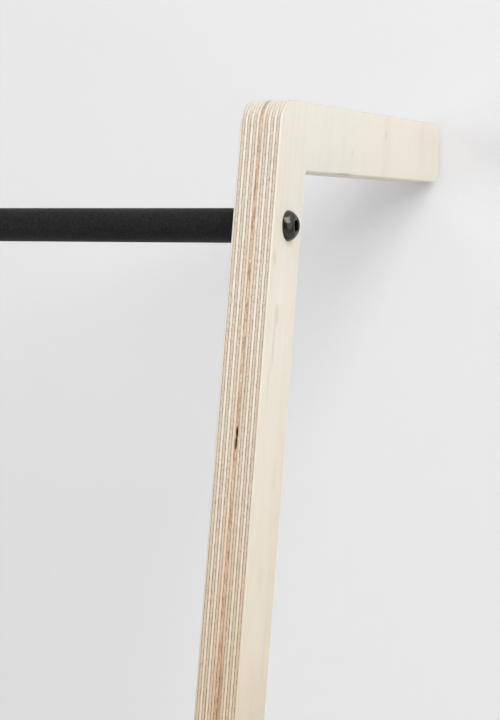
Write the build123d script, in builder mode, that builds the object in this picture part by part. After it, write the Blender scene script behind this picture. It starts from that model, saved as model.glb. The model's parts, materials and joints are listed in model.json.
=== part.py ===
from build123d import *
import os
from math import cos, radians, sin, tan

# A clothes rack that leans on a wall. Two L-shaped plywood side frames stand on the floor, tilt
# back, and reach the wall with their short arms. Two steel tubes join the frames; each tube end
# is held by one button-head screw that passes through the board into a threaded plug.
# X runs along the rails, +Y points at the wall and +Z up. The origin is on the floor, at the
# centre of the rack's outer box.

os.makedirs("parts", exist_ok=True)

# Overall, in millimetres and degrees
rack_height = 1700.0  # floor to the top of the arms
rail_span = 960.0  # clear distance between the two side frames
wall_reach = 230.0  # wall to the outer corner where upright and arm meet
lean = 10.5  # tilt of the uprights from the vertical

# Side frames, cut from birch plywood of 21 mm nominal thickness
board = 20.4
upright_depth = 33.0  # across the upright, square to its front edge
arm_height = 32.0
top_corner_radius = 14.0  # where upright and arm meet
arm_end_radius = 9.0  # both corners of the arm's end
inner_radius = 3.0  # where the arm's underside meets the upright's rear edge
foot_radius = 3.0
edge_easing = 0.8

# Rails
rail_diameter = 16.0
tube_wall = 1.5
tube_end_chamfer = 0.4
upper_rail_drop = 55.0  # top corner to the rail's axis, along the upright
lower_rail_height = 250.0  # floor to the rail's axis

# Threaded plugs pressed into the tube ends
plug_length = 30.0
plug_recess = 0.5
plug_chamfer = 0.6

# M8 button-head screws, 40 mm long
screw_diameter = 7.9  # the thread, left plain, in the plugs' 8 mm bore
thread_bore = 8.0
clearance_hole = 8.5
screw_length = 40.0
screw_tip_chamfer = 1.0
head_diameter = 14.0
head_height = 4.3
head_rim = 0.7  # straight stretch of the head's side
head_flat = 7.4  # diameter of the flat on top of the dome
dome_radius = 6.2
hex_across_flats = 5.0
hex_depth = 3.0
socket_mouth = 6.4  # diameter of the countersink round the hex socket
socket_throat = 4.6  # diameter at the countersink's bottom, inside the hex
socket_countersink = 0.5

# Rubber feet and the round bumpers on the ends of the arms
foot_thickness = 3.0
foot_width = 17.0
foot_length = 26.0
foot_corner = 3.0
foot_edge = 0.6  # rounding round the sole
bumper_thickness = 1.0
bumper_diameter = 12.0
bumper_edge = 0.3

# Derived places
lean_angle = radians(lean)
toe_setback = foot_radius * (1.0 / tan(radians(90.0 - lean) / 2.0) - 1.0)
rack_depth = wall_reach + (rack_height - foot_thickness) * tan(lean_angle) - toe_setback
wall_y = rack_depth / 2.0
arm_end_y = wall_y - bumper_thickness
corner_y = wall_y - wall_reach
inner_face = rail_span / 2.0
outer_face = inner_face + board


def front_edge_y(z):
    """Y of the upright's front edge at height z."""
    return corner_y - (rack_height - z) * tan(lean_angle)


def rear_edge_y(z):
    """Y of the upright's rear edge at height z."""
    return front_edge_y(z) + upright_depth / cos(lean_angle)


def upper_rail_axis():
    """Y and Z of the upper rail: down the front edge, then half the depth square to it."""
    y = corner_y - upper_rail_drop * sin(lean_angle) + upright_depth / 2.0 * cos(lean_angle)
    z = rack_height - upper_rail_drop * cos(lean_angle) - upright_depth / 2.0 * sin(lean_angle)
    return y, z


def lower_rail_axis():
    """Y and Z of the lower rail, on the upright's centre line."""
    middle = (front_edge_y(lower_rail_height) + rear_edge_y(lower_rail_height)) / 2.0
    return middle, lower_rail_height


rail_axes = {"upper": upper_rail_axis(), "lower": lower_rail_axis()}
sides = {"left": -1.0, "right": 1.0}


def finish(builder, label):
    """Names a finished piece and writes it."""
    builder.part.label = label
    export_step(builder.part, f"parts/{label}.step")


# Plywood side frames
arm_underside = rack_height - arm_height
frame_corners = [
    (corner_y, rack_height),
    (arm_end_y, rack_height),
    (arm_end_y, arm_underside),
    (rear_edge_y(arm_underside), arm_underside),
    (rear_edge_y(foot_thickness), foot_thickness),
    (front_edge_y(foot_thickness), foot_thickness),
]
corner_radii = [top_corner_radius, arm_end_radius, arm_end_radius, inner_radius, foot_radius, foot_radius]

for side, sign in sides.items():
    with BuildPart() as side_frame:
        with BuildSketch(Plane.YZ.offset(sign * inner_face)):
            with BuildLine():
                FilletPolyline(*frame_corners, radius=corner_radii, close=True)
            make_face()
        extrude(amount=sign * board)
        fillet(side_frame.faces().filter_by(Axis.X).edges(), edge_easing)
        for y, z in rail_axes.values():
            with Locations(Plane(origin=(sign * outer_face, y, z), z_dir=(sign, 0, 0))):
                Hole(clearance_hole / 2.0, depth=board)
    finish(side_frame, f"{side}_side_frame")

# Steel rails
for level, (y, z) in rail_axes.items():
    with BuildPart() as rail:
        with BuildSketch(Plane.YZ.offset(-inner_face)):
            with Locations((y, z)):
                Circle(rail_diameter / 2.0)
                Circle(rail_diameter / 2.0 - tube_wall, mode=Mode.SUBTRACT)
        extrude(amount=rail_span)
        end_faces = rail.faces().filter_by(Axis.X)
        rims = end_faces.edges().filter_by(lambda e: e.radius > rail_diameter / 2.0 - tube_wall / 2.0)
        chamfer(rims, tube_end_chamfer)
    finish(rail, f"{level}_rail")

# Threaded plugs
for level, (y, z) in rail_axes.items():
    for side, sign in sides.items():
        mouth = Plane(origin=(sign * (inner_face - plug_recess), y, z), z_dir=(-sign, 0, 0))
        with BuildPart() as plug:
            with BuildSketch(mouth):
                Circle(rail_diameter / 2.0 - tube_wall)
                Circle(thread_bore / 2.0, mode=Mode.SUBTRACT)
            extrude(amount=plug_length)
            rims = plug.faces().filter_by(Axis.X).edges()
            chamfer(rims, plug_chamfer)
        finish(plug, f"{level}_{side}_threaded_plug")

# Button-head screws, revolved about their own axis: out of the board is local +Z
dome_start = Vector(head_diameter / 2.0, head_rim)
dome_end = Vector(head_flat / 2.0, head_height)

for level, (y, z) in rail_axes.items():
    for side, sign in sides.items():
        seat = Plane(origin=(sign * outer_face, y, z), x_dir=(0, 1, 0), z_dir=(sign, 0, 0))
        section = Plane(origin=seat.origin, x_dir=seat.x_dir, z_dir=seat.x_dir.cross(seat.z_dir))
        with BuildPart() as screw:
            with BuildSketch(section):
                with BuildLine():
                    Polyline(
                        dome_end,
                        (socket_mouth / 2.0, head_height),
                        (socket_throat / 2.0, head_height - socket_countersink),
                        (0, head_height - socket_countersink),
                        (0, -screw_length),
                        (screw_diameter / 2.0 - screw_tip_chamfer, -screw_length),
                        (screw_diameter / 2.0, screw_tip_chamfer - screw_length),
                        (screw_diameter / 2.0, 0),
                        (head_diameter / 2.0, 0),
                        dome_start,
                    )
                    RadiusArc(dome_start, dome_end, -dome_radius)
                make_face()
            revolve(axis=Axis(seat.origin, seat.z_dir))
            with BuildSketch(seat.offset(head_height)):
                RegularPolygon(hex_across_flats / 2.0, 6, major_radius=False, rotation=30.0)
            extrude(amount=-hex_depth, mode=Mode.SUBTRACT)
        finish(screw, f"{level}_{side}_screw")

# Rubber feet, each on the flat of a frame's foot
foot_flat_start = front_edge_y(foot_thickness) + foot_radius / tan(radians(90.0 - lean) / 2.0)
foot_flat_end = rear_edge_y(foot_thickness) - foot_radius / tan(radians(90.0 + lean) / 2.0)

for side, sign in sides.items():
    with BuildPart() as foot:
        with BuildSketch():
            with Locations((sign * (inner_face + outer_face) / 2.0, (foot_flat_start + foot_flat_end) / 2.0)):
                RectangleRounded(foot_width, foot_length, foot_corner)
        extrude(amount=foot_thickness)
        fillet(foot.faces().sort_by(Axis.Z)[0].edges(), foot_edge)
    finish(foot, f"{side}_rubber_foot")

# Round bumpers between the arms and the wall
for side, sign in sides.items():
    middle = Vector(sign * (inner_face + outer_face) / 2.0, arm_end_y, rack_height - arm_height / 2.0)
    with BuildPart() as bumper:
        with BuildSketch(Plane(origin=middle, z_dir=(0, 1, 0))):
            Circle(bumper_diameter / 2.0)
        extrude(amount=bumper_thickness)
        fillet(bumper.faces().sort_by(Axis.Y)[-1].edges(), bumper_edge)
    finish(bumper, f"{side}_wall_bumper")
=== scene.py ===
import json
from math import acos, atan2, cos, pi, radians, sin, sqrt, tan

import bmesh
import bpy
from mathutils import Matrix, Vector
from mathutils.geometry import tessellate_polygon


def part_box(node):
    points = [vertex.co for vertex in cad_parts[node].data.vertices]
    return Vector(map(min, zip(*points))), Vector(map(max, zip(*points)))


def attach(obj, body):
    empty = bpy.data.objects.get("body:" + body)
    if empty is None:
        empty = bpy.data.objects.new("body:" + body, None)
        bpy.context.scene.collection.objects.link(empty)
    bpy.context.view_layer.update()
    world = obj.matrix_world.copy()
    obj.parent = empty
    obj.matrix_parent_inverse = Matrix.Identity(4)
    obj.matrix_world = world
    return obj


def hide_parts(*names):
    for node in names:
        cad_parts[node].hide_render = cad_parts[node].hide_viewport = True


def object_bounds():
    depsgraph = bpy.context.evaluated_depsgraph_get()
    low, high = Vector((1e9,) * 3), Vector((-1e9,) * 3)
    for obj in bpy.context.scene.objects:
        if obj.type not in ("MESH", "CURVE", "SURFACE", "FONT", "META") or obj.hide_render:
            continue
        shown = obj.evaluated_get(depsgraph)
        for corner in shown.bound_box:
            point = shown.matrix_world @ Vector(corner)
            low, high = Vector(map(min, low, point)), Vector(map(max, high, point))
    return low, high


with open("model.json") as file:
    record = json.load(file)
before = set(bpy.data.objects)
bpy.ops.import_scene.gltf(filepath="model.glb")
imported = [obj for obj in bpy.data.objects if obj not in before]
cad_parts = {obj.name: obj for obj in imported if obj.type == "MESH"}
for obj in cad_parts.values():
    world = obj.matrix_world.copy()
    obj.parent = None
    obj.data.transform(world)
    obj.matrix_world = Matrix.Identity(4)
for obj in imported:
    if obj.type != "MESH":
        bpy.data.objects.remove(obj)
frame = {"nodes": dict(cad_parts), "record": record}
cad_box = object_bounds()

# ---------------------------------------------------------------- places and sizes, in metres

MM = 0.001

LEAN = radians(10.5)  # tilt of the uprights
REACH = 230.0 * MM  # wall to the outer corner of a side frame
DEPTH = 33.0 * MM  # across an upright
ARM = 32.0 * MM  # height of an arm
TOP_CORNER_RADIUS = 14.0 * MM
ARM_END_RADIUS = 9.0 * MM
INNER_RADIUS = 3.0 * MM
FOOT_RADIUS = 3.0 * MM
EASING = 0.8 * MM  # rounding along the boards' edges
HOLE_RADIUS = 4.25 * MM

SMALLEST_RADIUS = 0.2 * MM  # of a corner whose outline has moved inwards
LARGE_RADIUS = 5.0 * MM  # from here on a corner has more steps
LARGE_CORNER_STEPS = 12
SMALL_CORNER_STEPS = 6
EASING_STEPS = 6
BORE_STEPS = 32

PLIES = 15
PLY = 1.40 * MM  # pitch of the inner veneers
GLUE = 0.16 * MM  # thickness of a glue line
RELIEF = 0.04 * MM  # how far the sanded edge dips at a glue line
SHOULDER = 0.1 * MM  # from a glue line to where the edge is level again
CORE = (PLIES + 1) // 2
CORE_STEPS = 12  # through the core, to shape the void in it
LONG_GRAIN = list(range(3, PLIES, 2))
CROSS_GRAIN = [ply for ply in range(2, PLIES, 2) if ply != CORE]
SHARP_ANGLE = radians(28.0)  # edges that turn further than this are shaded sharp

ALONG = Vector((0.0, sin(LEAN), cos(LEAN)))  # up an upright
ACROSS = Vector((0.0, cos(LEAN), -sin(LEAN)))  # from its front edge to its rear edge

wall_y = cad_box[1].y
top_z = cad_box[1].z
frame_low, frame_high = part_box("right_side_frame")
outer_x = frame_high.x
board = outer_x - frame_low.x
arm_end_y = frame_high.y
foot_z = frame_low.z
corner_y = wall_y - REACH
top_corner = Vector((outer_x, corner_y, top_z))


# ---------------------------------------------------------------- outline of a side frame

def front_y(z):
    """Y of the upright's front edge at height z."""
    return corner_y - (top_z - z) * tan(LEAN)


def rear_y(z):
    """Y of the upright's rear edge at height z."""
    return front_y(z) + DEPTH / cos(LEAN)


CORNERS = [
    (Vector((corner_y, top_z)), TOP_CORNER_RADIUS),
    (Vector((arm_end_y, top_z)), ARM_END_RADIUS),
    (Vector((arm_end_y, top_z - ARM)), ARM_END_RADIUS),
    (Vector((rear_y(top_z - ARM), top_z - ARM)), -INNER_RADIUS),
    (Vector((rear_y(foot_z), foot_z)), FOOT_RADIUS),
    (Vector((front_y(foot_z), foot_z)), FOOT_RADIUS),
]
UNDERSIDE, FRONT = 2, 5  # the outline's stretches that start at these corners


def turned(v):
    """The unit vector to the right of v: into the board, going round the outline clockwise."""
    return Vector((v.y, -v.x)).normalized()


def inset_corner(index, inset):
    """A corner of the outline once both its sides have moved inwards."""
    here = CORNERS[index][0]
    before = (here - CORNERS[index - 1][0]).normalized()
    after = (CORNERS[(index + 1) % len(CORNERS)][0] - here).normalized()
    a, b = turned(before), turned(after)
    return here + (a + b) * inset / (1.0 + a.dot(b))


def inset_radius(radius, inset):
    """A corner's radius once the outline has moved inwards. A negative radius is a hollow corner."""
    if radius < 0.0:
        return inset - radius
    return max(radius - inset, SMALLEST_RADIUS)


def rounded_corner(index, inset, steps):
    """The points round one corner of the inset outline."""
    radius = inset_radius(CORNERS[index][1], inset)
    here = inset_corner(index, inset)
    back = (inset_corner(index - 1, inset) - here).normalized()
    ahead = (inset_corner((index + 1) % len(CORNERS), inset) - here).normalized()
    half = acos(max(-1.0, min(1.0, back.dot(ahead)))) / 2.0
    middle = here + (back + ahead).normalized() * radius / sin(half)
    start = here + back * radius / tan(half) - middle
    end = here + ahead * radius / tan(half) - middle
    first = atan2(start.y, start.x)
    turn = (atan2(end.y, end.x) - first + pi) % (2.0 * pi) - pi
    return [
        middle + Vector((cos(first + turn * i / steps), sin(first + turn * i / steps))) * radius
        for i in range(steps + 1)
    ]


def dip(nick, across):
    """Depth of a nick at a place across the veneer, where 0 is one face of the veneer and 1 the other."""
    depth, middle, half_width = nick[1:]
    off = (across - middle) / half_width
    return depth * sqrt(max(1.0 - off * off, 0.0))


def outline(inset, nicks=None, across=0.5):
    """The side frame's outline, moved inwards. nicks lists, for a stretch of the outline, points that
    dip further in: distance from the stretch's starting corner, depth, and the middle and
    half-width of the dip across the veneer."""
    points = []
    for index, (here, radius) in enumerate(CORNERS):
        steps = LARGE_CORNER_STEPS if abs(radius) > LARGE_RADIUS else SMALL_CORNER_STEPS
        points += rounded_corner(index, inset, steps)
        ahead = (CORNERS[(index + 1) % len(CORNERS)][0] - here).normalized()
        for nick in (nicks or {}).get(index, []):
            points.append(here + ahead * nick[0] + turned(ahead) * (inset + dip(nick, across)))
    return points


# ---------------------------------------------------------------- veneers and glue lines

def rail_axis(node):
    """Y and Z of a rail's axis."""
    lo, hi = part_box(node)
    return (lo.y + hi.y) / 2.0, (lo.z + hi.z) / 2.0


HOLES = [rail_axis("upper_rail"), rail_axis("lower_rail")]
SIGN = {"left": -1.0, "right": 1.0}  # of X on each side


def bore_loop(y, z):
    """The points round a screw hole."""
    turns = [2.0 * pi * i / BORE_STEPS for i in range(BORE_STEPS)]
    return [Vector((y + HOLE_RADIUS * cos(t), z + HOLE_RADIUS * sin(t))) for t in turns]


def add_plate(bm, sign, levels, nicks=None):
    """A closed plate with a side frame's outline and screw holes. levels lists, from the board's
    outer face inwards, the depth below that face, the outline's inset and the place across the veneer."""
    loops = [outline(inset, nicks, across) for depth, inset, across in levels]
    xs = [sign * (outer_x - depth) for depth, inset, across in levels]
    rings = [[bm.verts.new((x, p.x, p.y)) for p in loop] for x, loop in zip(xs, loops)]
    for ring, following in zip(rings, rings[1:]):
        for i in range(len(ring)):
            j = (i + 1) % len(ring)
            bm.faces.new((ring[i], ring[j], following[j], following[i]))
    bores = [bore_loop(y, z) for y, z in HOLES]
    walls = [[[bm.verts.new((x, p.x, p.y)) for p in bore] for bore in bores] for x in (xs[0], xs[-1])]
    for near, far in zip(*walls):
        for i in range(len(near)):
            j = (i + 1) % len(near)
            bm.faces.new((near[i], near[j], far[j], far[i]))
    for ring, loop, bore_rings in ((rings[0], loops[0], walls[0]), (rings[-1], loops[-1], walls[1])):
        verts = ring + [v for bore_ring in bore_rings for v in bore_ring]
        flat = [[Vector((p.x, p.y, 0.0)) for p in points] for points in [loop] + bores]
        for triangle in tessellate_polygon(flat):
            bm.faces.new([verts[i] for i in triangle])


def make_piece(name, bm, material, node):
    """Turns a bmesh into a piece that stands for a CAD node."""
    bmesh.ops.recalc_face_normals(bm, faces=bm.faces)
    mesh = bpy.data.meshes.new(name)
    bm.to_mesh(mesh)
    bm.free()
    mesh.polygons.foreach_set("use_smooth", [True] * len(mesh.polygons))
    mesh.set_sharp_from_angle(angle=SHARP_ANGLE)
    piece = bpy.data.objects.new(name, mesh)
    bpy.context.scene.collection.objects.link(piece)
    mesh.materials.append(material)
    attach(piece, "root")
    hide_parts(node)
    return piece


FACE = (board - (PLIES - 2) * PLY) / 2.0  # thickness of each face veneer


def ply_span(ply):
    """Depths below the outer face where a veneer starts and ends; ply 1 is the outer face veneer."""
    start = 0.0 if ply == 1 else FACE + (ply - 2) * PLY + GLUE / 2.0
    end = board if ply == PLIES else FACE + (ply - 1) * PLY - GLUE / 2.0
    return start, end


def eased(depth_to_face):
    """Inset of the outline at a depth below a face, where the board's edge is rounded over."""
    rest = max(EASING - depth_to_face, 0.0)
    return EASING - sqrt(EASING * EASING - rest * rest)


def veneer_levels(ply):
    """Levels through a veneer, for add_plate."""
    start, end = ply_span(ply)
    if ply == 1:
        turns = [radians(90.0 * i / EASING_STEPS) for i in range(EASING_STEPS + 1)]
        depths = [EASING * (1.0 - cos(turn)) for turn in turns] + [end - SHOULDER]
        return [(depth, eased(depth), depth / end) for depth in depths] + [(end, RELIEF, 1.0)]
    if ply == PLIES:
        return [(board - depth, inset, across) for depth, inset, across in reversed(veneer_levels(1))]
    steps = CORE_STEPS if ply == CORE else 1
    width = end - start - 2.0 * SHOULDER
    inner = [(start + SHOULDER + width * i / steps, 0.0, i / steps) for i in range(steps + 1)]
    return [(start, RELIEF, 0.0), *inner, (end, RELIEF, 1.0)]


def board_piece(side, layer, plates, material, nicks=None):
    """One piece made of plates of the same kind, such as all the cross-grain veneers of a side frame.
    plates has each plate's levels under its number, and nicks has its nicks."""
    bm = bmesh.new()
    for number, levels in plates.items():
        add_plate(bm, SIGN[side], levels, (nicks or {}).get(number))
    node = f"{side}_side_frame"
    return make_piece(f"{node}_{layer}", bm, material, node)


# ---------------------------------------------------------------- material helpers

def linear(value):
    """A display value of 0 to 255 as linear light, by the sRGB curve."""
    share = value / 255.0
    return share / 12.92 if share <= 0.04045 else ((share + 0.055) / 1.055) ** 2.4


def tone(red, green, blue):
    """A colour from display values of 0 to 255."""
    return (linear(red), linear(green), linear(blue), 1.0)


class Tree:
    """Short calls that add nodes to one material."""

    def __init__(self, name):
        self.material = bpy.data.materials.new(name)
        self.material.use_nodes = True
        self.nodes = self.material.node_tree.nodes
        self.links = self.material.node_tree.links
        self.shader = self.nodes["Principled BSDF"]

    def feed(self, socket, value):
        if isinstance(value, bpy.types.NodeSocket):
            self.links.new(value, socket)
        else:
            socket.default_value = value

    def add(self, kind, **settings):
        node = self.nodes.new(kind)
        for key, value in settings.items():
            setattr(node, key, value)
        return node

    def math(self, operation, a, b=0.0):
        node = self.add("ShaderNodeMath", operation=operation)
        self.feed(node.inputs[0], a)
        self.feed(node.inputs[1], b)
        return node.outputs[0]

    def vector(self, operation, a, b):
        node = self.add("ShaderNodeVectorMath", operation=operation)
        self.feed(node.inputs[0], a)
        self.feed(node.inputs[1], b)
        return node.outputs["Value" if operation == "DOT_PRODUCT" else "Vector"]

    def join(self, x, y, z):
        node = self.add("ShaderNodeCombineXYZ")
        for socket, value in zip(node.inputs, (x, y, z)):
            self.feed(socket, value)
        return node.outputs[0]

    def split(self, vector):
        node = self.add("ShaderNodeSeparateXYZ")
        self.feed(node.inputs[0], vector)
        return node.outputs

    def noise(self, at, cells, detail, roughness, seed, distortion=0.0):
        """Noise from 0 to 1, with so many cells to the metre in each direction."""
        stretched = self.vector("MULTIPLY", at, cells)
        node = self.add("ShaderNodeTexNoise", noise_dimensions="4D")
        self.feed(node.inputs["Vector"], stretched)
        self.feed(node.inputs["W"], seed)
        self.feed(node.inputs["Scale"], 1.0)
        self.feed(node.inputs["Detail"], detail)
        self.feed(node.inputs["Roughness"], roughness)
        self.feed(node.inputs["Distortion"], distortion)
        return node.outputs["Fac"]

    def between(self, value, low, high, to_low=0.0, to_high=1.0):
        """Goes smoothly from to_low to to_high as the value goes from low to high, and stays there."""
        node = self.add("ShaderNodeMapRange", interpolation_type="SMOOTHSTEP")
        for socket, number in zip(node.inputs, (value, low, high, to_low, to_high)):
            self.feed(socket, number)
        return node.outputs[0]

    def mix(self, factor, a, b, blend="MIX"):
        node = self.add("ShaderNodeMix", data_type="RGBA", blend_type=blend)
        colours = [s for s in node.inputs if s.type == "RGBA"]
        self.feed(node.inputs["Factor"], factor)
        self.feed(colours[0], a)
        self.feed(colours[1], b)
        return [s for s in node.outputs if s.type == "RGBA"][0]

    def bump(self, height, relief):
        node = self.add("ShaderNodeBump")
        self.feed(node.inputs["Strength"], 1.0)
        self.feed(node.inputs["Height"], height)
        self.feed(node.inputs["Distance"], relief)
        return node.outputs[0]

    def position(self):
        return self.add("ShaderNodeTexCoord").outputs["Object"]

    def finish(self, colour, roughness, height, relief, metallic=0.0, shine=0.5):
        """Feeds the shader and gives the material. relief is how deep the bumps are, in metres."""
        self.feed(self.shader.inputs["Base Color"], colour)
        self.feed(self.shader.inputs["Roughness"], roughness)
        self.feed(self.shader.inputs["Metallic"], metallic)
        self.feed(self.shader.inputs["Specular IOR Level"], shine)
        self.feed(self.shader.inputs["Normal"], self.bump(height, relief))
        return self.material


def wood_coordinates(tree, side):
    """Depth below the outer face, distance behind the front edge and distance below the top
    corner: the directions a side frame is grained in."""
    offset = tree.vector("SUBTRACT", tree.position(), (SIGN[side] * outer_x, corner_y, top_z))
    depth = tree.vector("DOT_PRODUCT", offset, (-SIGN[side], 0.0, 0.0))
    behind = tree.vector("DOT_PRODUCT", offset, tuple(ACROSS))
    below = tree.vector("DOT_PRODUCT", offset, tuple(-ALONG))
    return depth, behind, below


# ---------------------------------------------------------------- plywood materials

PALE_FACE = tone(202, 198, 188)
WARM_FACE = tone(206, 200, 188)
HONEY_FACE = tone(197, 188, 170)
LOW_FACE = tone(191, 182, 163)
FLAME = tone(188, 168, 132)
KNOT = tone(140, 104, 66)
PALE_LONG = tone(229, 220, 207)
HONEY_LONG = tone(212, 191, 163)
INNER_STAIN = tone(222, 182, 148)
OUTER_STAIN = tone(190, 155, 125)
LONG_END = tone(213, 209, 200)
# Colours of the face veneer's own edge, kept a little darker than the long-grain edges as painted shade
# against the highlight on the rounded arris.
PALE_RIM = tone(222, 216, 204)
HONEY_RIM = tone(200, 182, 157)
PALE_CROSS = tone(212, 204, 190)
HONEY_CROSS = tone(204, 182, 156)
CROSS_SHADE = tone(190, 168, 143)
CROSS_SIDE = tone(220, 216, 207)
PALE_GLUE = tone(150, 126, 104)
DARK_GLUE = tone(72, 46, 30)
TOP_GLUE = tone(176, 158, 134)
CORE_TAN = tone(220, 203, 181)
CORE_BROWN = tone(154, 113, 80)
CORE_RED = tone(156, 106, 86)
HEARTWOOD = tone(160, 115, 76)
# Painted shade for the void in the right frame's core: brown at its rim, near black deeper in.
VOID_RIM_SHADE = tone(98, 62, 36)
VOID_SHADE = tone(9, 6, 4)
# Painted shade: colours that up-facing edges are multiplied by, to darken them against the light from
# above.
TOP_SHADE = tone(235, 234, 230)
RIM_TOP_SHADE = tone(224, 221, 214)
WOOD_SHINE = 0.3


def honey_further_down(tree, below):
    """0 near the top corner, 1 down the upright, where the boards turn from cream to honey."""
    return tree.between(below, 0.05, 0.36)


def washed(tree, colour, pattern, start, full, amount, other):
    """Mixes another colour in where a pattern runs from start to full."""
    return tree.mix(tree.math("MULTIPLY", tree.between(pattern, start, full), amount), colour, other)


def spot(tree, behind, below, centre, radii, wobble):
    """1 inside a small uneven ellipse on the board's face, 0 outside."""
    squares = []
    for place, middle, radius in zip((behind, below), centre, radii):
        off = tree.math("DIVIDE", tree.math("SUBTRACT", tree.math("ADD", place, wobble), middle), radius)
        squares.append(tree.math("MULTIPLY", off, off))
    away = tree.math("SQRT", tree.math("ADD", *squares))
    return tree.between(away, 0.35, 1.15, 1.0, 0.0)


def facing(tree, direction):
    """How squarely the surface faces a direction, from -1 to 1."""
    normal = tree.add("ShaderNodeNewGeometry").outputs["Normal"]
    return tree.vector("DOT_PRODUCT", normal, tuple(direction))


def edge_on(tree, direction):
    """How squarely the surface faces along a direction either way, from 0 to 1."""
    return tree.math("ABSOLUTE", facing(tree, direction))


def on_top(tree):
    """1 on edges that face along the upright, such as an arm's top, and 0 on its front and rear edges."""
    return tree.between(edge_on(tree, ALONG), 0.20, 0.70)


def seamed(tree, colour, depth, at, below, seed):
    """Adds the uneven seep of glue along a veneer's two faces."""
    in_ply = tree.math("DIVIDE", tree.math("SUBTRACT", depth, FACE), PLY)
    to_seam = tree.math("MULTIPLY", tree.math("PINGPONG", in_ply, 0.5), PLY)
    uneven = tree.noise(at, (500.0, 260.0, 260.0), 3.0, 0.65, seed)
    reach = tree.between(uneven, 0.35, 0.75, 0.02 * MM, 0.26 * MM)
    share = tree.between(tree.math("SUBTRACT", to_seam, reach), 0.0, 0.06 * MM, 1.0, 0.0)
    darker = tree.mix(honey_further_down(tree, below), PALE_GLUE, DARK_GLUE)
    darker = tree.mix(on_top(tree), darker, TOP_GLUE)
    return tree.mix(tree.math("MULTIPLY", share, 0.75), colour, darker)


def shaded_top(tree, colour, shade=TOP_SHADE):
    """Edges that face up are painted a little darker: painted shade that tones down the light from above.
    """
    share = tree.between(facing(tree, ALONG), 0.10, 0.75)
    return tree.mix(share, colour, tree.mix(1.0, colour, shade, "MULTIPLY"))


def finish_wood(tree, colour, height, relief, pattern, smoothest, roughest):
    """Ends a wood material, whose roughness follows a pattern."""
    roughness = tree.between(pattern, 0.2, 0.8, smoothest, roughest)
    return tree.finish(colour, roughness, height, relief, shine=WOOD_SHINE)


SEED = {"right": 3.0, "left": 203.0}
VOID_BELOW = 153.4 * MM  # the void in the right frame's core, below the top corner
ACROSS_CORE = (board / 2.0 - 1.0 * MM, board / 2.0 + 1.0 * MM)  # depths on the core's two sides
HEART_START = 238.0 * MM  # below the top corner
ARM_JOINT = 110.0 * MM  # behind the outer corner, where a new strip of face veneer starts

# Marks on the outer faces: distance behind the front edge, distance below the top corner, and
# half-lengths in the same two directions, all in millimetres, then strength.
MARKS = {
    "right": [
        (91.9, 4.3, 0.9, 2.0, 0.38),
        (139.4, -15.8, 1.3, 3.2, 0.24),
        (146.0, 10.0, 1.4, 1.4, 0.25),
        (3.5, 72.0, 3.0, 4.0, 0.16),
        (11.0, 97.0, 2.6, 6.0, 0.22),
        (10.0, 112.0, 1.6, 12.0, 0.20),
        (7.0, 128.0, 1.2, 12.0, 0.14),
        (22.0, 168.0, 3.0, 9.0, 0.07),
        (15.0, 214.0, 4.0, 9.0, 0.06),
        (18.0, 300.0, 16.0, 26.0, 0.09),
        (17.0, 640.0, 2.2, 7.0, 0.35),
        (24.0, 1120.0, 1.6, 4.0, 0.35),
    ],
    "left": [
        (61.0, 9.0, 1.0, 2.4, 0.45),
        (20.0, 310.0, 2.0, 8.0, 0.30),
        (9.0, 905.0, 1.4, 4.0, 0.40),
    ],
}


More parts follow.
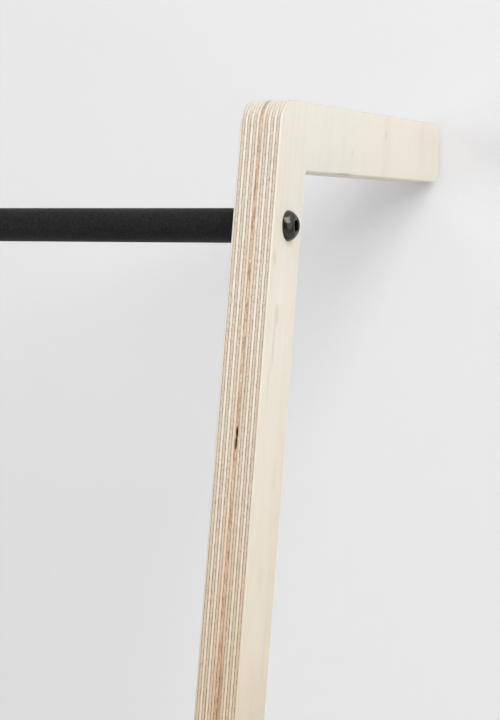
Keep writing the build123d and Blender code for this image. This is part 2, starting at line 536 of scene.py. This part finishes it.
def face_veneer(side):
    """Rotary-cut birch face veneer: cream, with faint flames, fine fibres and a few small marks."""
    tree = Tree(f"birch_face_{side}")
    depth, behind, below = wood_coordinates(tree, side)
    at = tree.join(depth, behind, below)
    seed = SEED[side]
    broad = tree.noise(at, (30.0, 40.0, 5.0), 3.0, 0.5, seed, distortion=0.8)
    contours = tree.math("PINGPONG", tree.math("MULTIPLY", broad, 7.0), 0.5)
    flames = tree.noise(at, (30.0, 260.0, 9.0), 4.0, 0.55, seed + 1.0, distortion=0.4)
    mottle = tree.noise(at, (60.0, 100.0, 50.0), 3.0, 0.55, seed + 5.0, distortion=0.6)
    fibres = tree.noise(at, (300.0, 2600.0, 50.0), 3.0, 0.6, seed + 2.0)
    pores = tree.noise(at, (300.0, 3200.0, 260.0), 1.0, 0.5, seed + 3.0)
    wobble = tree.math("MULTIPLY", tree.math("SUBTRACT", flames, 0.5), 3.0 * MM)
    back = tree.math("SUBTRACT", tree.split(tree.position())["Y"], corner_y)
    colour = tree.mix(tree.between(back, 0.05, 0.20), PALE_FACE, WARM_FACE)
    colour = washed(tree, colour, back, ARM_JOINT, ARM_JOINT + 0.4 * MM, 0.35, WARM_FACE)
    colour = tree.mix(tree.between(below, 0.04, 0.11), colour, WARM_FACE)
    colour = tree.mix(honey_further_down(tree, below), colour, HONEY_FACE)
    colour = tree.mix(tree.between(below, 0.240, 0.285), colour, LOW_FACE)
    colour = washed(tree, colour, broad, 0.45, 0.75, 0.16, FLAME)
    colour = washed(tree, colour, contours, 0.40, 0.50, 0.07, FLAME)
    colour = washed(tree, colour, flames, 0.50, 0.75, 0.13, FLAME)
    colour = washed(tree, colour, mottle, 0.45, 0.70, tree.between(below, 0.10, 0.30, 0.05, 0.16), FLAME)
    colour = washed(tree, colour, fibres, 0.50, 0.80, 0.10, FLAME)
    colour = washed(tree, colour, pores, 0.68, 0.74, 0.16, KNOT)
    for mark_behind, mark_below, half_width, half_length, strength in MARKS[side]:
        centre = (mark_behind * MM, mark_below * MM)
        radii = (half_width * MM, half_length * MM)
        inside = spot(tree, behind, below, centre, radii, wobble)
        colour = tree.mix(tree.math("MULTIPLY", inside, strength), colour, KNOT)
    # The face veneer's edge in its own colour, made a little darker than the other veneers' edges as
    # painted shade against the highlight on the rounded arris.
    on_edge = tree.between(edge_on(tree, (1.0, 0.0, 0.0)), 0.30, 0.85, 1.0, 0.0)
    colour = tree.mix(on_edge, colour, tree.mix(honey_further_down(tree, below), PALE_RIM, HONEY_RIM))
    # Painted shade: the face veneer's up-facing edges are made darker.
    colour = shaded_top(tree, colour, RIM_TOP_SHADE)
    height = tree.math("SUBTRACT", fibres, tree.between(pores, 0.66, 0.74))
    return finish_wood(tree, colour, height, 0.04 * MM, fibres, 0.48, 0.62)


def long_grain(side):
    """Edges of the veneers whose fibres run along the upright: pale, with end grain on the arm's top.
    Beside the core they are stained, more so further down, and brown heartwood starts at HEART_START."""
    tree = Tree(f"birch_long_grain_{side}")
    depth, behind, below = wood_coordinates(tree, side)
    at = tree.join(depth, behind, below)
    seed = SEED[side] + 10.0
    streaks = tree.noise(at, (900.0, 900.0, 14.0), 3.0, 0.55, seed)
    patches = tree.noise(at, (500.0, 30.0, 22.0), 3.0, 0.5, seed + 1.0)
    specks = tree.noise(at, (1300.0, 1300.0, 450.0), 2.0, 0.6, seed + 2.0)
    colour = tree.mix(honey_further_down(tree, below), PALE_LONG, HONEY_LONG)
    colour = washed(tree, colour, patches, 0.45, 0.75, 0.50, PALE_CROSS)
    colour = washed(tree, colour, streaks, 0.50, 0.80, 0.40, HONEY_CROSS)
    colour = washed(tree, colour, specks, 0.54, 0.66, 0.55, CROSS_SHADE)
    off = tree.math("ABSOLUTE", tree.math("SUBTRACT", depth, board / 2.0))
    near = tree.between(off, 0.9 * MM, 3.0 * MM, 1.0, 0.0)
    inward = tree.between(depth, *ACROSS_CORE)
    stain = tree.math("MULTIPLY", near, tree.between(below, 0.0, 0.25, 0.16, 0.48))
    blotches = tree.between(patches, 0.25, 0.6, 0.5, 1.3)
    stained = tree.mix(inward, OUTER_STAIN, INNER_STAIN)
    colour = tree.mix(tree.math("MULTIPLY", stain, blotches), colour, stained)
    wander = tree.noise(at, (300.0, 0.0, 7.0), 3.0, 0.5, seed + 4.0)
    heart = tree.between(below, HEART_START, HEART_START + 24.0 * MM)
    heart = tree.math("MULTIPLY", heart, tree.between(wander, 0.42, 0.58, 0.30, 0.85))
    heart = tree.math("MULTIPLY", heart, tree.between(depth, *ACROSS_CORE, 1.0, 0.35))
    colour = tree.mix(tree.math("MULTIPLY", heart, near), colour, HEARTWOOD)
    colour = tree.mix(on_top(tree), colour, LONG_END)
    colour = seamed(tree, colour, depth, at, below, seed + 3.0)
    # Painted shade on the up-facing edges.
    colour = shaded_top(tree, colour)
    return finish_wood(tree, colour, streaks, 0.03 * MM, streaks, 0.52, 0.68)


def cross_grain(side):
    """Edges of the veneers whose fibres run across: speckled end grain on the upright's edges."""
    tree = Tree(f"birch_cross_grain_{side}")
    depth, behind, below = wood_coordinates(tree, side)
    at = tree.join(depth, behind, below)
    seed = SEED[side] + 20.0
    patches = tree.noise(at, (500.0, 20.0, 26.0), 4.0, 0.6, seed)
    speckle = tree.noise(at, (1100.0, 1100.0, 600.0), 2.0, 0.6, seed + 1.0)
    pores = tree.noise(at, (3000.0, 3000.0, 2200.0), 1.0, 0.5, seed + 2.0)
    colour = tree.mix(honey_further_down(tree, below), PALE_CROSS, HONEY_CROSS)
    colour = washed(tree, colour, patches, 0.38, 0.66, 0.42, CROSS_SHADE)
    colour = washed(tree, colour, speckle, 0.47, 0.62, 0.75, CROSS_SHADE)
    colour = washed(tree, colour, pores, 0.58, 0.66, 0.50, DARK_GLUE)
    colour = tree.mix(on_top(tree), colour, CROSS_SIDE)
    colour = seamed(tree, colour, depth, at, below, seed + 3.0)
    # Painted shade on the up-facing edges.
    colour = shaded_top(tree, colour)
    return finish_wood(tree, colour, speckle, 0.06 * MM, speckle, 0.60, 0.75)


def painted_void_shade(tree, colour, at, behind, below, seed):
    """Paints shade into the void in the core: a brown band at its shallow rim and black deeper in, in
    ragged patches.
    """
    away = tree.math("ABSOLUTE", tree.math("SUBTRACT", below, VOID_BELOW))
    alongside = tree.between(away, 5.6 * MM, 6.2 * MM, 1.0, 0.0)
    in_front = tree.between(behind, 4.0 * MM, 6.0 * MM, 1.0, 0.0)
    around = tree.math("MULTIPLY", alongside, in_front)
    rim = tree.math("MULTIPLY", around, tree.between(behind, 0.03 * MM, 0.25 * MM))
    colour = tree.mix(rim, colour, VOID_RIM_SHADE)
    ragged = tree.noise(at, (1900.0, 1900.0, 1100.0), 1.0, 0.5, seed)
    patchy = tree.between(ragged, 0.35, 0.5, 0.4, 1.0)
    deep = tree.math("MULTIPLY", tree.between(behind, 0.35 * MM, 1.10 * MM), patchy)
    return tree.mix(tree.math("MULTIPLY", around, deep), colour, VOID_SHADE)


def core_grain(side):
    """The middle veneer: tan, with a wavy red-brown heart that comes and goes."""
    tree = Tree(f"birch_core_{side}")
    depth, behind, below = wood_coordinates(tree, side)
    at = tree.join(depth, behind, below)
    seed = SEED[side] + 30.0
    wave = tree.noise(at, (0.0, 0.0, 90.0), 4.0, 0.7, seed)
    shift = tree.math("MULTIPLY", tree.math("SUBTRACT", wave, 0.5), 2.6 * MM)
    from_middle = tree.math("SUBTRACT", depth, board / 2.0)
    off = tree.math("ABSOLUTE", tree.math("SUBTRACT", from_middle, shift))
    patches = tree.noise(at, (300.0, 40.0, 60.0), 4.0, 0.7, seed + 1.0)
    hue = tree.noise(at, (0.0, 0.0, 24.0), 2.0, 0.5, seed + 4.0)
    speckle = tree.noise(at, (1500.0, 1500.0, 600.0), 2.0, 0.6, seed + 2.0)
    heart = tree.between(off, 0.10 * MM, 0.60 * MM, 1.0, 0.2)
    strength = tree.math("MULTIPLY", heart, tree.between(patches, 0.38, 0.64, 0.02, 0.90))
    colour = tree.mix(honey_further_down(tree, below), CORE_TAN, HONEY_CROSS)
    stained = tree.mix(tree.between(hue, 0.42, 0.58), CORE_BROWN, CORE_RED)
    colour = tree.mix(strength, colour, stained)
    colour = washed(tree, colour, speckle, 0.46, 0.64, 0.60, CORE_BROWN)
    # Painted shade in the void of the right frame's core.
    if side == "right":
        colour = painted_void_shade(tree, colour, at, behind, below, seed + 6.0)
    colour = seamed(tree, colour, depth, at, below, seed + 3.0)
    # Painted shade on the up-facing edges.
    colour = shaded_top(tree, colour)
    return finish_wood(tree, colour, speckle, 0.06 * MM, speckle, 0.60, 0.75)


def glue_line(side):
    """Dark resin between the veneers, stronger in some places than in others."""
    tree = Tree(f"birch_glue_{side}")
    depth, behind, below = wood_coordinates(tree, side)
    at = tree.join(depth, behind, below)
    dashes = tree.noise(at, (700.0, 160.0, 160.0), 3.0, 0.65, SEED[side] + 40.0)
    lower_down = tree.between(below, 0.0, 0.30, 0.3, 1.0)
    darker = tree.math("MULTIPLY", tree.between(dashes, 0.35, 0.65), lower_down)
    colour = tree.mix(darker, PALE_GLUE, DARK_GLUE)
    colour = tree.mix(on_top(tree), colour, TOP_GLUE)
    # Painted shade on the up-facing edges.
    colour = shaded_top(tree, colour)
    return finish_wood(tree, colour, dashes, 0.03 * MM, dashes, 0.50, 0.70)


# ---------------------------------------------------------------- side frames

front_length = (top_z - foot_z) / cos(LEAN)

# Points of the void in the right frame's core, from its lower end up: millimetres below its middle,
# depth in millimetres, then middle and half-width as shares of the veneer.
VOID = [
    (5.4, 0.0, 0.50, 0.20),
    (4.6, 0.6, 0.55, 0.35),
    (3.6, 1.0, 0.50, 0.42),
    (2.5, 0.8, 0.55, 0.44),
    (1.3, 1.1, 0.60, 0.36),
    (0.4, 0.8, 0.55, 0.24),
    (-0.4, 1.1, 0.42, 0.22),
    (-1.5, 2.4, 0.45, 0.42),
    (-2.5, 2.6, 0.50, 0.48),
    (-3.8, 1.2, 0.50, 0.35),
    (-4.6, 0.5, 0.45, 0.20),
    (-5.4, 0.0, 0.45, 0.15),
]

# Points of the shallow chip under the right arm, in the same way, but from the arm's end inwards.
CHIP = [
    (136.0, 0.00, 0.0, 1.3),
    (139.0, 0.16, 0.0, 1.3),
    (145.0, 0.30, 0.0, 1.3),
    (152.0, 0.28, 0.0, 1.3),
    (160.0, 0.16, 0.0, 1.3),
    (168.0, 0.00, 0.0, 1.3),
]


def in_metres(points, start, direction):
    """Nicks for outline(): each point's distance is counted from start, up or down the stretch."""
    return [(start + direction * place * MM, depth * MM, *across) for place, depth, *across in points]


NICKS = {
    "right": {
        CORE: {FRONT: in_metres(VOID, front_length - VOID_BELOW, -1.0)},
        1: {UNDERSIDE: in_metres(CHIP, 0.0, 1.0)},
    },
    "left": {},
}


def glue_levels(line):
    """The two levels of the glue line below a veneer, for add_plate."""
    top, bottom = ply_span(line)[1], ply_span(line + 1)[0]
    return [(top, RELIEF, 0.0), (bottom, RELIEF, 0.0)]


def side_frame(side):
    """One plywood side frame: a piece for each kind of layer."""
    layers = [
        ("face_veneers", (1, PLIES), face_veneer(side)),
        ("long_grain_veneers", LONG_GRAIN, long_grain(side)),
        ("cross_grain_veneers", CROSS_GRAIN, cross_grain(side)),
        ("core_veneer", (CORE,), core_grain(side)),
    ]
    for layer, plies, material in layers:
        plates = {ply: veneer_levels(ply) for ply in plies}
        board_piece(side, layer, plates, material, NICKS[side])
    lines = {line: glue_levels(line) for line in range(1, PLIES)}
    board_piece(side, "glue_lines", lines, glue_line(side))


for side in ("left", "right"):
    side_frame(side)


# ---------------------------------------------------------------- metal and rubber

def powder_coat():
    """Fine-textured black powder coat with pale specks of dust."""
    tree = Tree("black_powder_coat")
    at = tree.position()
    grain = tree.noise(at, (1100.0, 1100.0, 1100.0), 3.0, 0.65, 1.0)
    dust = tree.noise(at, (3200.0, 3200.0, 3200.0), 1.0, 0.5, 2.0)
    broad = tree.noise(at, (18.0, 60.0, 60.0), 2.0, 0.5, 3.0)
    colour = tree.mix(tree.between(grain, 0.35, 0.7), tone(5, 5, 6), tone(30, 30, 31))
    colour = washed(tree, colour, dust, 0.60, 0.68, 0.35, tone(70, 70, 72))
    roughness = tree.between(broad, 0.2, 0.8, 0.50, 0.62)
    return tree.finish(colour, roughness, grain, 0.30 * MM, shine=0.18)


def black_oxide():
    """Black screw steel, rubbed a little brown in places."""
    tree = Tree("black_screw")
    at = tree.position()
    grain = tree.noise(at, (2500.0, 2500.0, 2500.0), 2.0, 0.6, 5.0)
    worn = tree.noise(at, (600.0, 600.0, 600.0), 2.0, 0.6, 6.0)
    colour = tree.mix(tree.between(worn, 0.4, 0.7), tone(56, 56, 54), tone(84, 79, 71))
    roughness = tree.between(grain, 0.2, 0.8, 0.18, 0.28)
    return tree.finish(colour, roughness, grain, 0.02 * MM, metallic=0.9)


def plated_steel():
    """Bright turned steel of the threaded plugs."""
    tree = Tree("plug_steel")
    at = tree.position()
    turned_lines = tree.noise(at, (4000.0, 200.0, 200.0), 2.0, 0.6, 7.0)
    colour = tree.mix(turned_lines, tone(150, 152, 156), tone(196, 198, 200))
    roughness = tree.between(turned_lines, 0.2, 0.8, 0.28, 0.42)
    return tree.finish(colour, roughness, turned_lines, 0.02 * MM, metallic=1.0)


def rubber(name, dark, light):
    """Matt rubber, scuffed from its dark to its light colour."""
    tree = Tree(name)
    at = tree.position()
    grain = tree.noise(at, (1800.0, 1800.0, 1800.0), 3.0, 0.6, 9.0)
    scuffs = tree.noise(at, (260.0, 260.0, 260.0), 3.0, 0.6, 10.0)
    colour = tree.mix(tree.between(scuffs, 0.4, 0.75), dark, light)
    roughness = tree.between(grain, 0.2, 0.8, 0.70, 0.88)
    return tree.finish(colour, roughness, grain, 0.05 * MM)


FINISHES = {  # material slot to material, for the CAD nodes that stay
    "black_powder_coat": powder_coat(),
    "black_screw": black_oxide(),
    "plug_steel": plated_steel(),
    "foot_rubber": rubber("foot_rubber", tone(40, 40, 41), tone(62, 61, 60)),
    "bumper_rubber": rubber("bumper_rubber", tone(206, 201, 190), tone(220, 216, 206)),
}
slots = {part["node"]: part["material_slot"] for part in frame["record"]["subparts"]}
for node, piece in frame["nodes"].items():
    if slots[node] in FINISHES:
        piece.data.materials.clear()
        piece.data.materials.append(FINISHES[slots[node]])


# ---------------------------------------------------------------- floor and wall

def stage_plane(name, points, material):
    """A flat part of the stage, such as the floor."""
    bm = bmesh.new()
    bm.faces.new([bm.verts.new(p) for p in points])
    mesh = bpy.data.meshes.new(name)
    bm.to_mesh(mesh)
    bm.free()
    mesh.materials.append(material)
    plane = bpy.data.objects.new(name, mesh)
    bpy.context.scene.collection.objects.link(plane)


def plaster():
    """Pale painted plaster, seen through from behind so that the wall hides nothing there."""
    tree = Tree("plaster")
    at = tree.position()
    fine = tree.noise(at, (420.0, 420.0, 150.0), 3.0, 0.55, 61.0, distortion=0.3)
    brushed = tree.noise(at, (110.0, 110.0, 28.0), 3.0, 0.55, 62.0, distortion=0.5)
    height = tree.math("ADD", tree.math("MULTIPLY", fine, 0.35), brushed)
    tree.finish(tone(225, 225, 227), 0.9, height, 0.14 * MM)
    behind = tree.add("ShaderNodeNewGeometry").outputs["Backfacing"]
    clear = tree.add("ShaderNodeBsdfTransparent")
    choice = tree.add("ShaderNodeMixShader")
    tree.links.new(behind, choice.inputs[0])
    tree.links.new(tree.shader.outputs[0], choice.inputs[1])
    tree.links.new(clear.outputs[0], choice.inputs[2])
    tree.links.new(choice.outputs[0], tree.nodes["Material Output"].inputs["Surface"])
    return tree.material


def pale_floor():
    """Plain pale floor with faint cloudy patches."""
    tree = Tree("pale_floor")
    at = tree.position()
    cloud = tree.noise(at, (3.0, 3.0, 3.0), 3.0, 0.5, 71.0)
    tree.feed(tree.shader.inputs["Base Color"], tree.mix(cloud, tone(200, 199, 197), tone(206, 205, 203)))
    tree.feed(tree.shader.inputs["Roughness"], 0.7)
    return tree.material


LEFT_END, RIGHT_END = -3.2, 4.2  # of the floor
WALL_END = 2.6  # the wall's right end
WALL_TOP = 3.4
FLOOR_FRONT, FLOOR_BACK = -4.0, 3.0
stage_plane("wall", [
    (LEFT_END, wall_y, 0.0),
    (WALL_END, wall_y, 0.0),
    (WALL_END, wall_y, WALL_TOP),
    (LEFT_END, wall_y, WALL_TOP),
], plaster())
stage_plane("floor", [
    (LEFT_END, FLOOR_FRONT, 0.0),
    (RIGHT_END, FLOOR_FRONT, 0.0),
    (RIGHT_END, FLOOR_BACK, 0.0),
    (LEFT_END, FLOOR_BACK, 0.0),
], pale_floor())


# ---------------------------------------------------------------- light

def softbox(name, place, aim, size, watts):
    """A square soft light at a place, turned towards its aim."""
    data = bpy.data.lights.new(name, "AREA")
    data.shape = "SQUARE"
    data.size = size
    data.energy = watts
    lamp = bpy.data.objects.new(name, data)
    lamp.location = place
    lamp.rotation_mode = "QUATERNION"
    lamp.rotation_quaternion = (Vector(aim) - Vector(place)).to_track_quat("-Z", "Y")
    bpy.context.scene.collection.objects.link(lamp)


softbox("key", place=(2.70, -1.44, 3.75), aim=(0.5, 0.1, 1.5), size=2.4, watts=111.5)
softbox("ceiling", place=(0.5, -1.5, 4.0), aim=(0.5, -1.5, 0.0), size=4.0, watts=57.0)
softbox("left_wall", place=(-3.5, -1.8, 1.8), aim=(0.5, -1.0, 1.6), size=4.0, watts=146.0)
softbox("right_wall", place=(4.5, -1.8, 1.8), aim=(0.5, -1.0, 1.6), size=4.0, watts=74.0)

DIM = 0.01  # strength of the light from all round, which only fills the deepest shadows


def studio_world():
    """Dim white light from all round, and a pale grey backdrop that only the camera sees."""
    world = bpy.data.worlds.new("studio")
    world.use_nodes = True
    nodes, links = world.node_tree.nodes, world.node_tree.links
    dim = nodes["Background"]
    dim.inputs["Color"].default_value = (1.0, 1.0, 1.0, 1.0)
    dim.inputs["Strength"].default_value = DIM
    backdrop = nodes.new("ShaderNodeBackground")
    backdrop.inputs["Color"].default_value = tone(205, 206, 208)
    seen = nodes.new("ShaderNodeLightPath").outputs["Is Camera Ray"]
    choice = nodes.new("ShaderNodeMixShader")
    links.new(seen, choice.inputs[0])
    links.new(dim.outputs[0], choice.inputs[1])
    links.new(backdrop.outputs[0], choice.inputs[2])
    links.new(choice.outputs[0], nodes["World Output"].inputs["Surface"])
    return world


bpy.context.scene.world = studio_world()
bpy.context.scene.view_settings.view_transform = "Standard"


# ---------------------------------------------------------------- camera

YAW = radians(22.95)  # to the left of straight at the wall
PITCH = radians(3.52)  # downwards
ROLL = radians(0.306)  # about the line of sight
FOCAL = 102.3  # millimetres
SENSOR = 36.0  # millimetres, along the picture's long side
CAMERA_OFFSET = Vector((346.6, -855.7, -61.0)) * MM  # from the right frame's top corner


def add_camera():
    """The camera, at the viewing angle and distance that show the right frame's top corner."""
    forward = Vector((-sin(YAW) * cos(PITCH), cos(YAW) * cos(PITCH), -sin(PITCH)))
    level = forward.cross(Vector((0.0, 0.0, 1.0))).normalized()
    rise = level.cross(forward)
    right = level * cos(ROLL) + rise * sin(ROLL)
    up = right.cross(forward)
    turn = Matrix((right, up, -forward)).transposed().to_4x4()
    lens = bpy.data.cameras.new("camera")
    lens.lens = FOCAL
    lens.sensor_width = SENSOR
    lens.clip_start = 10.0 * MM
    camera = bpy.data.objects.new("camera", lens)
    camera.matrix_world = Matrix.Translation(top_corner + CAMERA_OFFSET) @ turn
    bpy.context.scene.collection.objects.link(camera)
    return camera


bpy.context.scene.camera = add_camera()

bpy.context.view_layer.update()
